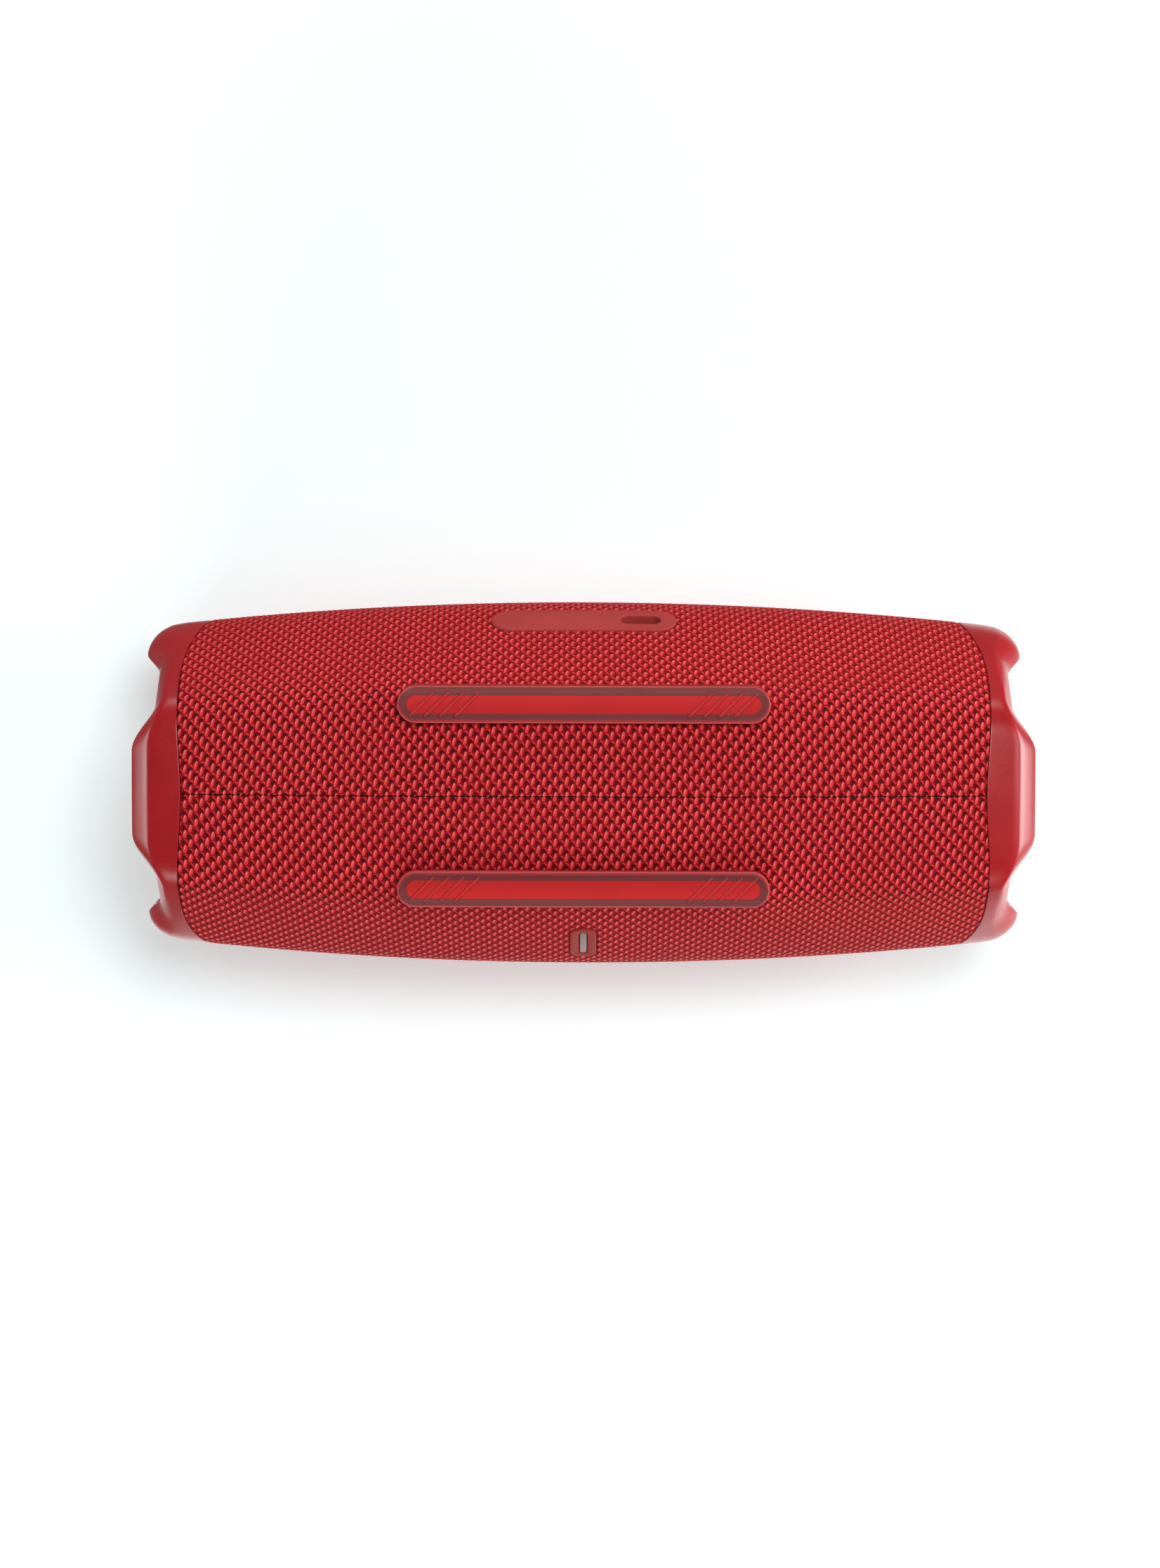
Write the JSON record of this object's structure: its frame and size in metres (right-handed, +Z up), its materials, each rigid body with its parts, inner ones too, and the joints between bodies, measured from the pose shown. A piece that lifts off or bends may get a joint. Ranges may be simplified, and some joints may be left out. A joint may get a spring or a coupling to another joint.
{
  "type": "portable speaker",
  "caption": "Barrel-shaped battery speaker in a knitted sleeve, with lobed rubber end bumpers, end radiators, top buttons and long feet.",
  "frame": {"origin": "under the middle of the barrel, on the plane that the feet stand on", "axes": "+X along the barrel, -Y the front with the light tab, +Y the back with the port plate, +Z up"},
  "size_m": [0.2288, 0.094, 0.0985],
  "materials": {
    "sleeve_fabric": "open knit polyester, matt with a slight sheen",
    "bumper_rubber": "moulded soft-touch rubber, satin",
    "foot_clear": "frosted translucent rubber",
    "foot_red": "moulded rubber, satin",
    "port_rubber": "fine-grained moulded rubber",
    "red_plastic": "moulded, fine texture",
    "lens": "translucent diffuser",
    "button_rubber": "moulded rubber, satin",
    "black_plastic": "moulded, fine texture",
    "black_rubber": "butyl rubber, matt",
    "paper_cone": "pressed paper pulp",
    "spider_cloth": "resin-dipped cloth",
    "steel": "plated",
    "copper": "enamelled copper winding",
    "aluminium": "extruded",
    "circuit_board": "solder-masked glass-fibre board",
    "cell_wrap": "heat-shrink wrap"
  },
  "bodies": {
    "case": {"front_shell": "black_plastic", "rear_shell": "black_plastic", "fabric_sleeve": "sleeve_fabric", "foot_base_front": "foot_clear", "foot_insert_front": "foot_red", "foot_base_rear": "foot_clear", "foot_insert_rear": "foot_red", "end_bumper_left": "bumper_rubber", "radiator_screw_left_1": "steel", "radiator_screw_left_2": "steel", "radiator_screw_left_3": "steel", "radiator_screw_left_4": "steel", "radiator_frame_left": "black_plastic", "radiator_surround_left": "black_rubber", "end_bumper_right": "bumper_rubber", "radiator_screw_right_1": "steel", "radiator_screw_right_2": "steel", "radiator_screw_right_3": "steel", "radiator_screw_right_4": "steel", "radiator_frame_right": "black_plastic", "radiator_surround_right": "black_rubber", "port_plate": "port_rubber", "usb_shell": "steel", "usb_tongue": "black_plastic", "usb_board": "circuit_board", "led_bezel": "red_plastic", "led_lens": "lens", "led_board": "circuit_board", "keypad_membrane": "black_rubber", "button_board": "circuit_board", "baffle": "black_plastic", "woofer_screw_1": "steel", "woofer_screw_2": "steel", "woofer_screw_3": "steel", "woofer_screw_4": "steel", "woofer_basket": "black_plastic", "woofer_magnet": "steel", "woofer_spider": "spider_cloth", "woofer_surround": "black_rubber", "tweeter_faceplate": "black_plastic", "tweeter_magnet": "steel", "battery_cell_a": "cell_wrap", "battery_cell_b": "cell_wrap", "battery_holder": "black_plastic", "main_board": "circuit_board", "heatsink": "aluminium", "wireless_module": "steel"},
    "button_volume_down": {"button_volume_down": "button_rubber"},
    "button_play": {"button_play": "button_rubber"},
    "button_volume_up": {"button_volume_up": "button_rubber"},
    "button_pair": {"button_pair": "button_rubber"},
    "button_power": {"button_power": "button_rubber"},
    "button_link": {"button_link": "button_rubber"},
    "radiator_left_plate": {"radiator_cone_left": "red_plastic"},
    "radiator_right_plate": {"radiator_cone_right": "red_plastic"},
    "woofer_motion": {"woofer_cone": "paper_cone", "woofer_voice_coil": "copper"},
    "tweeter_motion": {"tweeter_dome": "paper_cone"}
  },
  "joints": [
    {"name": "button_volume_down_press", "type": "slide", "parent": "case", "child": "button_volume_down", "axis": [0, 0, -1], "range_m": [0, 0.0008], "stiffness_N_per_m": 300, "springref_m": -0.0005},
    {"name": "button_play_press", "type": "slide", "parent": "case", "child": "button_play", "axis": [0, 0, -1], "range_m": [0, 0.0008], "stiffness_N_per_m": 300, "springref_m": -0.0005},
    {"name": "button_volume_up_press", "type": "slide", "parent": "case", "child": "button_volume_up", "axis": [0, 0, -1], "range_m": [0, 0.0008], "stiffness_N_per_m": 300, "springref_m": -0.0005},
    {"name": "button_pair_press", "type": "slide", "parent": "case", "child": "button_pair", "axis": [0, 0, -1], "range_m": [0, 0.0008], "stiffness_N_per_m": 300, "springref_m": -0.0005},
    {"name": "button_power_press", "type": "slide", "parent": "case", "child": "button_power", "axis": [0, 0, -1], "range_m": [0, 0.0008], "stiffness_N_per_m": 300, "springref_m": -0.0005},
    {"name": "button_link_press", "type": "slide", "parent": "case", "child": "button_link", "axis": [0, 0, -1], "range_m": [0, 0.0008], "stiffness_N_per_m": 300, "springref_m": -0.0005},
    {"name": "radiator_left_pump", "type": "slide", "parent": "case", "child": "radiator_left_plate", "axis": [-1, 0, 0], "range_m": [-0.004, 0.004], "stiffness_N_per_m": 1500, "deforming": ["radiator_surround_left"]},
    {"name": "radiator_right_pump", "type": "slide", "parent": "case", "child": "radiator_right_plate", "axis": [1, 0, 0], "range_m": [-0.004, 0.004], "stiffness_N_per_m": 1500, "deforming": ["radiator_surround_right"]},
    {"name": "woofer_pump", "type": "slide", "parent": "case", "child": "woofer_motion", "axis": [0, -1, 0], "range_m": [-0.0035, 0.0035], "stiffness_N_per_m": 1500, "deforming": ["woofer_surround", "woofer_spider"]},
    {"name": "tweeter_pump", "type": "slide", "parent": "case", "child": "tweeter_motion", "axis": [0, -1, 0], "range_m": [-0.0003, 0.0003], "stiffness_N_per_m": 600}
  ]
}
